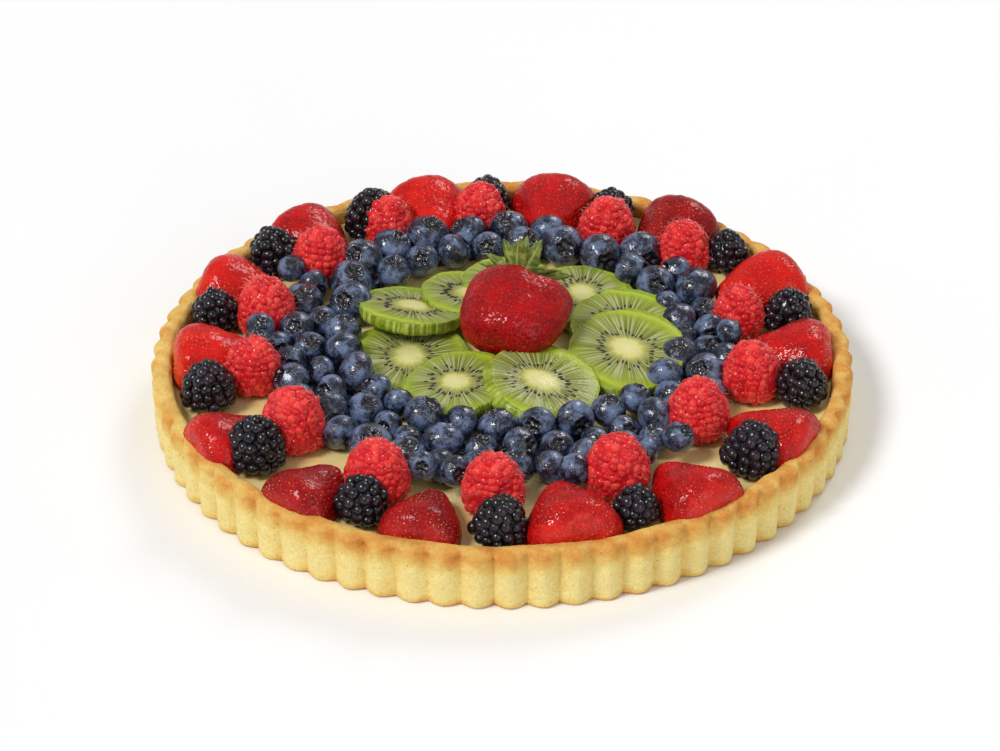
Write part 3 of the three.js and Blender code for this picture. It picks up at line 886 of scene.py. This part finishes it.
def blueberry_band(materials, obstacles):
    """The band of loose blueberries, some lying on the others, over a low dark core that is painted shade in
    the gaps between them.
    """
    rng = np.random.default_rng(5)
    at, radii = pack_band(rng, obstacles)
    # The berries of the inner row lean on the edges of the kiwi slices.
    inward = np.hypot(*(at - BLUEBERRY_INNER[:2]).T)
    balls = np.column_stack([at, BED + radii * 0.88 + 1.2 * smooth_step(74, 66, inward), radii])
    berries = np.array(obstacles)
    lowest, highest = UPPER_HEIGHTS
    while len(balls) < len(at) + UPPER_COUNT:
        base = balls[rng.integers(len(at))]
        radius = rng.uniform(*UPPER_RADII)
        spots = base[:2] + rng.uniform(-9, 9, (60, 2))
        clear = np.hypot(*(spots[:, None] - berries[None, :, :2]).T) > (berries[:, 2] + 3)[:, None]
        spots = spots[(np.hypot(*(spots - BLUEBERRY_INNER[:2]).T) > UPPER_INNER) & clear.all(0)]
        if not len(spots):
            continue
        heights = np.array([rest_height(x, y, radius, balls) for x, y in spots])
        raised = heights > BED + radius + lowest
        if not raised.any():
            continue
        best = int(np.argmin(np.where(raised, heights, np.inf)))
        if heights[best] < BED + highest:
            balls = np.vstack([balls, [*spots[best], heights[best] - 2, radius]])
    shape = Shape()
    for x, y, z, radius in balls:
        crown = rng.normal(0, 0.6, 3) + [0, -0.35, 0.6]
        hue = rng.choice([0, 0.1, 0.25, 0.8], p=[0.4, 0.3, 0.2, 0.1])
        vertices, faces, heading = blueberry(rng, radius, crown)
        shape.add(vertices + [x, y, z], faces, tone=hue, place=heading)
    add_band_shade_core(shape)
    shape.hand_over("blueberry_heap", materials, "blueberries")


def add_band_shade_core(shape):
    """A low swelling in the berries' dark colour under the band: painted shade that fills the gaps between
    the berries.
    """
    outer = np.array(band_outer(-6))
    inner = np.array([*BLUEBERRY_INNER[:2], BLUEBERRY_INNER[2] + 9])
    section = np.array([(0, -0.1), (0.1, 1.2), (0.5, 2.4), (0.9, 1.2), (1, -0.1), (0.5, -0.4)])
    columns = 220
    angle = angles_round(columns)
    rim = np.stack([np.cos(angle), np.sin(angle)], -1)
    near, far = inner[:2] + rim * inner[2], outer[:2] + rim * outer[2]
    rows = [np.column_stack([near + (far - near) * t, np.full(columns, BED + h)]) for t, h in section]
    points = np.stack(rows)
    points[1:4, :, 2] += 0.5 * ripple(points[1:4].reshape(-1, 3), 6, 41).reshape(3, columns)
    quads = tube_faces(len(section) + 1, columns) % (len(section) * columns)
    place = np.tile([1.0, 0, 0], (points.size // 3, 1))
    shape.add(points.reshape(-1, 3), quads[:, ::-1].tolist(), tone=0.6, place=place)


# ---- Kiwi ----
def kiwi_slice(name, node, slice_of, materials, seed):
    """One slice: a peeled round of flesh with a pale core, rays and a ring of seeds."""
    clock, ring, radius, lean, pitch, lift = slice_of
    rng = np.random.default_rng(seed)
    columns = 96
    angle = angles_round(columns)
    # The knife that peeled the fruit left flats of uneven width.
    corners = (np.arange(11) + rng.uniform(-0.3, 0.3, 11)) / 11 * TAU
    bearing = (angle[:, None] - corners + math.pi) % TAU - math.pi
    facet = 1 / np.cos(np.abs(bearing).min(1))
    waist = 0.02 * np.cos(2 * angle + rng.uniform(0, TAU)) + 0.01 * np.cos(3 * angle)
    outline = 0.985 + 0.5 * (facet - 1) + waist
    thick = KIWI_THICKNESS
    reach, heights, outer = kiwi_profile(thick)
    z = np.repeat(heights[:, None], columns, 1)
    last = slice_of == KIWI_SLICES[-1]
    slant = math.pi if last else rng.uniform(0, TAU)
    taper = (TOP_SLICE_TAPER if last else KIWI_TAPER) * (0.5 + 0.5 * np.cos(angle - slant)) ** 1.5
    r = reach[:, None] * outline * radius * (1 - taper * (z / thick) ** 1.5)
    top = (heights > thick - 0.1)[:, None]
    swell = 0.35 * np.exp(-((reach / 0.26) ** 2)) - seed_ring_dip(reach)
    rays = np.cos(angle * 36 + rng.uniform(0, TAU)) * 0.1 * np.exp(-(((reach - 0.55) / 0.25) ** 2))[:, None]
    z = z + top * (swell[:, None] + rays - 0.5 * smooth_step(0.8, 1, reach)[:, None])
    vertices, faces = capped_tube(rings_of(r, angle, z))
    edge = np.append(np.repeat(outer, columns), [0, 0])
    wavering = edge * 0.35 * ripple(vertices + seed * 30, 5, 51)
    vertices += wavering[:, None] * [1, 1, 0.2]
    oval = rng.uniform(0, 180)
    place = turn_z(vertices * [1, 1, 0], oval) / radius * [*KIWI_OVAL, 0]
    shape = Shape()
    shape.add(vertices, faces, tone=edge, place=place)
    add_kiwi_seeds(shape, radius, thick, oval, rng)
    rise = radius * math.sin(math.radians(math.hypot(lean, pitch)))

    def lay(points):
        """Leans the slice, takes it to its clock angle and presses it down under the whole strawberry."""
        leaning = turn_x(turn_y(points, lean), pitch) + [0, -ring, BED + lift + rise]
        return under_top_berry(turn_z(leaning, clock) + [*KIWI_CENTRE, 0])

    shape.move(lay)
    shape.hand_over(name, materials, node)


def kiwi_profile(thick):
    """A slice's rings, from its underside's middle round to its top's middle: their radii as shares of the
    slice's, their heights, and how far each belongs to the outer side."""
    steps = [(0.03, 0, 0), (0.6, 0, 0), (0.955, 0.15, 1), (0.985, thick * 0.25, 1), (0.995, thick * 0.5, 1)]
    steps += [(0.992, thick * 0.8, 1), (0.985, thick - 0.3, 0.8), (0.97, thick - 0.05, 0.15)]
    steps += [(r, thick, 0) for r in np.linspace(0.94, 0.03, 26)]
    return np.array(steps).T


def seed_ring_dip(reach):
    """How far the cut face is sunken in the ring of seeds, by the share of the radius."""
    return 0.4 * np.exp(-(((reach - 0.4) / 0.13) ** 2))


def under_top_berry(points):
    """Presses points down to where the whole strawberry lies on them."""
    low, high = node_box("top_strawberry")
    centre = (low + high) / 2
    width, length, depth = TOP_BERRY_HOLLOW
    local = turn_z(points - centre, -TOP_BERRY_TURN)
    share = (local[:, 0] / width) ** 2 + (local[:, 1] / length) ** 2
    bowl = depth * np.sqrt(np.clip(1 - share, 0, 1))
    under = centre[2] - bowl + local[:, 1] * math.sin(math.radians(TOP_BERRY_DIP))
    points[:, 2] = np.where(share < 1, np.minimum(points[:, 2], np.maximum(under, BED)), points[:, 2])
    return points


def add_kiwi_seeds(shape, radius, thick, oval, rng):
    """Seeds lie in the dark ring, their points towards the core."""
    seed, seed_faces = ball(8, 6)
    drop = seed * [0.46, 1.1, 0.42]
    drop[:, 0] *= 1 - 0.45 * smooth_step(-0.2, 1.05, -drop[:, 1])
    for k in range(KIWI_SEEDS):
        a = (k + rng.uniform(-0.3, 0.3)) / KIWI_SEEDS * TAU
        r = rng.choice([0.36, 0.42, 0.5], p=[0.3, 0.45, 0.25]) + rng.uniform(-0.03, 0.03)
        spot = np.array([[r * math.cos(a) / KIWI_OVAL[0], r * math.sin(a) / KIWI_OVAL[1], 0]])
        spot = turn_z(spot, -oval)[0] * radius
        heading = math.atan2(spot[1], spot[0])
        height = thick + 0.01 - seed_ring_dip(np.hypot(*spot[:2]) / radius)
        body = turn_z(drop * rng.uniform(0.85, 1.15), math.degrees(heading) - 90)
        shape.add(body + [spot[0], spot[1], height], seed_faces, slot=1)


# ---- The whole strawberry ----
# From the tip to the end with the leaves, as shares of the half width and the length.
CROWN_OUTLINE = spline([
    (0, 0), (0.38, 0.015), (0.7, 0.09), (0.88, 0.25), (0.97, 0.46),
    (1.0, 0.7), (0.94, 0.88), (0.7, 0.99), (0.3, 1), (0, 0.97),
], 9)


def lie_on_top(shape, centre):
    """Dips and turns a shape as the whole strawberry lies."""
    shape.move(lambda points: turn_z(turn_x(points, TOP_BERRY_DIP), TOP_BERRY_TURN) + centre)


def whole_strawberry(materials):
    """The strawberry on top: wide, with two shoulders, its tip dipping towards the front."""
    low, high = node_box("top_strawberry")
    centre = (low + high) / 2
    rng = np.random.default_rng(77)
    width, length, thickness = TOP_BERRY
    outline = CROWN_OUTLINE - [0, 0.5]
    ends = (-length / 2, length * 0.47)
    vertices, faces, normals = revolve(outline, 1, length, angles_round(130), ends)
    shape = Shape()
    squash = np.array([width / 2, 1, thickness / 2])

    def mould(points):
        """Makes a round berry of radius 1 wide and flat, with a cleft and a lower shoulder on its right."""
        x, y, above = points[:, 0], points[:, 1] / length, points[:, 2] > 0
        back = smooth_step(-0.35, 0.5, y)
        cleft = np.exp(-(((x - TOP_BERRY_CLEFT) / 0.22) ** 2)) * above
        notch = np.exp(-(((x - TOP_BERRY_CLEFT) / 0.25) ** 2)) * smooth_step(0.25, 0.5, y)
        made = points.copy()
        made[:, 2] -= 0.1 * cleft * back + 0.1 * smooth_step(0.2, 0.8, x) * above * back
        made[:, 1] -= 2 * notch
        return made * squash

    vertices = mould(vertices)
    normals = normals / squash * [1, 0.05, 1]
    normals /= np.linalg.norm(normals, axis=1)[:, None]
    vertices += normals * (0.3 * ripple(vertices, 18, 61) + 0.15 * ripple(vertices, 5, 62))[:, None]
    spots = seed_rows(outline * [TOP_BERRY_GIRTH, 1], 1, length, 2.9, rng)
    places = mould(on_skin(spots / [TOP_BERRY_GIRTH, 1, 1]))
    press_seeds(shape, vertices, normals, places, rng, TOP_BERRY_SEED, 5)
    along = vertices * [1, 1 / STREAK_STRETCH, 1]
    shape.add(vertices, faces, tone=0.75 * smooth_step(0.2, 0.55, vertices[:, 1] / length), place=along)
    lie_on_top(shape, centre)
    shape.hand_over("whole_strawberry", materials, "top_strawberry")
    return centre, length


def leaf_blade(shape, rng, length, width, heading, rise):
    """One leaf: a pointed blade with a fold along its midrib, curling at its tip."""
    rows, half = 14, 3
    t = np.linspace(0.0, 1, rows)
    spread = width / 2 * np.sin(np.pi * np.clip(t, 0.02, 0.99) ** 0.75) ** 0.8
    curl = rng.uniform(-1.2, 1.1)
    sway = rng.uniform(-0.3, 0.3)
    twist = rng.uniform(-0.7, 0.7)
    across = np.linspace(-1, 1, 2 * half + 1)
    spread = spread * rng.uniform(0.8, 1.15, rows)
    x = spread[:, None] * across + (length * sway * t**2)[:, None]
    out = np.repeat((t * length)[:, None], len(across), 1)
    fold = spread[:, None] * np.abs(across) * 0.4
    z = fold + length * (rise * t + curl * 0.35 * t**2)[:, None] + rng.normal(0, 0.16, x.shape)
    z += x * np.sin(twist * t)[:, None]
    steep = math.hypot(1, rise)
    top = np.stack([x, out / steep, z / steep], -1)
    bottom = top[:, ::-1] - [0, 0, LEAF_THICKNESS]
    vertices, faces = capped_tube(np.concatenate([top, bottom], 1))
    ribs = np.tile(np.concatenate([np.abs(across), np.abs(across)]), rows)
    shape.add(turn_z(vertices, heading), [face[::-1] for face in faces], tone=np.append(ribs, [0, 0]))


def strawberry_leaves(materials, centre, length):
    """The leaves behind the whole strawberry, fanned round the stub of its stem. The upper ones stand up."""
    rng = np.random.default_rng(8)
    shape = Shape()
    for k in range(LEAVES):
        heading = k / LEAVES * 360 + rng.uniform(-13, 13)
        upper = 0.5 - 0.5 * math.cos(math.radians(heading))
        size = LEAF_LENGTH + rng.uniform(-4.5, 4)
        leaf_blade(shape, rng, size, rng.uniform(5, 8.5), heading, rng.uniform(0, 0.3) + 0.4 * upper)
    t = np.linspace(0, 1, 8)[:, None]
    stem = rings_of(STEM_RADIUS - 0.5 * t, angles_round(10), t * STEM_LENGTH - 0.5)
    stem = stem + (1.5 * t**2 * [1, 0, 0])[:, None]
    shape.add(*capped_tube(stem), tone=0.1)
    # The fan is made round Z and is then laid over, so that the stem points backwards.
    root = [-3, length / 2 - 1.5, 4]
    shape.move(lambda points: turn_x(points, -90) + root)
    lie_on_top(shape, centre)
    shape.hand_over("strawberry_leaves", materials, "top_leaves")


# ---- Camera, light and floor ----
def aim(obj, place, target):
    obj.location = [c * MM for c in place]
    direction = Vector([t - p for t, p in zip(target, place)])
    obj.rotation_euler = direction.to_track_quat("-Z", "Y").to_euler()


def camera():
    """A long lens, two metres away and looking down on the tart."""
    elevation, distance, target = math.radians(32.7), 2000, (-1.0, 0.0, 16.6)
    data = bpy.data.cameras.new("camera")
    data.lens, data.sensor_width = 180.4, 36
    data.clip_start, data.clip_end = 0.1, 50
    made = add_to_scene("camera", data)
    back = (0, -distance * math.cos(elevation), distance * math.sin(elevation))
    aim(made, [t + b for t, b in zip(target, back)], target)
    bpy.context.scene.camera = made


def soft_sun(name, place, strength, spread):
    """A large soft lamp so far away that it lights the whole floor evenly."""
    data = bpy.data.lights.new(name, "SUN")
    data.energy, data.angle = strength, math.radians(spread)
    aim(add_to_scene(name, data), place, (0, 0, 0))


def studio():
    """A white room: a pale floor, a soft key from the upper left, and weaker back and fill lights."""
    world = bpy.data.worlds.new("studio")
    bpy.context.scene.world = world
    world.use_nodes = True
    background = world.node_tree.nodes["Background"].inputs
    background["Color"].default_value = (1, 1, 1, 1)
    background["Strength"].default_value = 0.4
    soft_sun("key", (-700, -450, 1000), 2.0, 18)
    soft_sun("back", (500, 900, 800), 0.75, 20)
    soft_sun("fill", (700, -1000, 600), 0.55, 40)
    bpy.context.scene.view_settings.view_transform = "Standard"
    side = 12  # metres from the middle of the floor to its edges
    corners = [(-side, -side, 0), (side, -side, 0), (side, side, 0), (-side, side, 0)]
    mesh = bpy.data.meshes.new("floor")
    mesh.from_pydata(corners, [], [(0, 1, 2, 3)])
    mesh.materials.append(floor_material())
    floor = add_to_scene("floor", mesh)


# ---- Everything together ----
def strawberry_halves():
    skins = [
        strawberry_material("strawberry", rgb(158, 4, 8), rgb(204, 8, 14), rgb(216, 40, 28)),
        strawberry_material("strawberry_deep", rgb(124, 2, 8), rgb(164, 4, 12), rgb(186, 24, 24)),
        strawberry_material("strawberry_bright", rgb(192, 8, 8), rgb(222, 24, 14), rgb(230, 96, 36)),
    ]
    skin_of_half = (0, 0, 0, 0, 2, 1, 0, 2, 0, 2, 2, 0, 1, 1)
    seed = seed_material("strawberry_seed", rgb(190, 56, 34), rgb(224, 116, 62), rgb(244, 190, 122))
    for i, node in enumerate(nodes_of("strawberry")):
        strawberry_half(f"strawberry_half_{i + 1}", node, [skins[skin_of_half[i]], seed], 100 + i)


def drupe_berries():
    colors = rgb(8, 6, 12), rgb(16, 13, 21), rgb(38, 24, 38)
    dark = drupelet_material("dark_drupelet", *colors, roughness=0.4, coat=0.75, subsurface=0.02)
    for i, node in enumerate(nodes_of("dark_berry")):
        drupe_piece(f"dark_drupes_{i + 1}", node, [dark], DARK_BERRY, 200 + i)
    colors = rgb(196, 14, 26), rgb(222, 30, 36), rgb(242, 74, 64)
    red = drupelet_material("red_drupelet", *colors, roughness=0.4, coat=0.45, subsurface=0.35, sheen=0.5)
    hair = hair_material()
    for i, node in enumerate(nodes_of("raspberry")):
        drupe_piece(f"raspberry_drupes_{i + 1}", node, [red, hair], RASPBERRY, 300 + i)


def raspberry_spots():
    """Centre x, centre y and radius of what the blueberries keep clear of."""
    spots = []
    for node in nodes_of("raspberry"):
        low, high = node_box(node)
        spots.append((*((low + high) / 2)[:2], (high[2] - low[2]) * 0.44))
    return spots


def kiwi_slices():
    materials = [kiwi_material(), kiwi_seed_material()]
    for i, (node, slice_of) in enumerate(zip(nodes_of("kiwi"), KIWI_SLICES)):
        kiwi_slice(f"kiwi_slice_{i + 1}", node, slice_of, materials, 400 + i)


def crowning_strawberry():
    skin = strawberry_material("strawberry_crown", rgb(146, 0, 8), rgb(178, 0, 8), rgb(190, 12, 16))
    seed = seed_material("strawberry_seed_dark", rgb(84, 2, 8), rgb(124, 16, 16), rgb(190, 96, 60))
    centre, length = whole_strawberry([skin, seed])
    strawberry_leaves([leaf_material()], centre, length)


camera()
studio()
pastry_case([pastry_material()])
custard_filling([custard_material()])
strawberry_halves()
drupe_berries()
blueberry_band([blueberry_material()], raspberry_spots())
kiwi_slices()
crowning_strawberry()
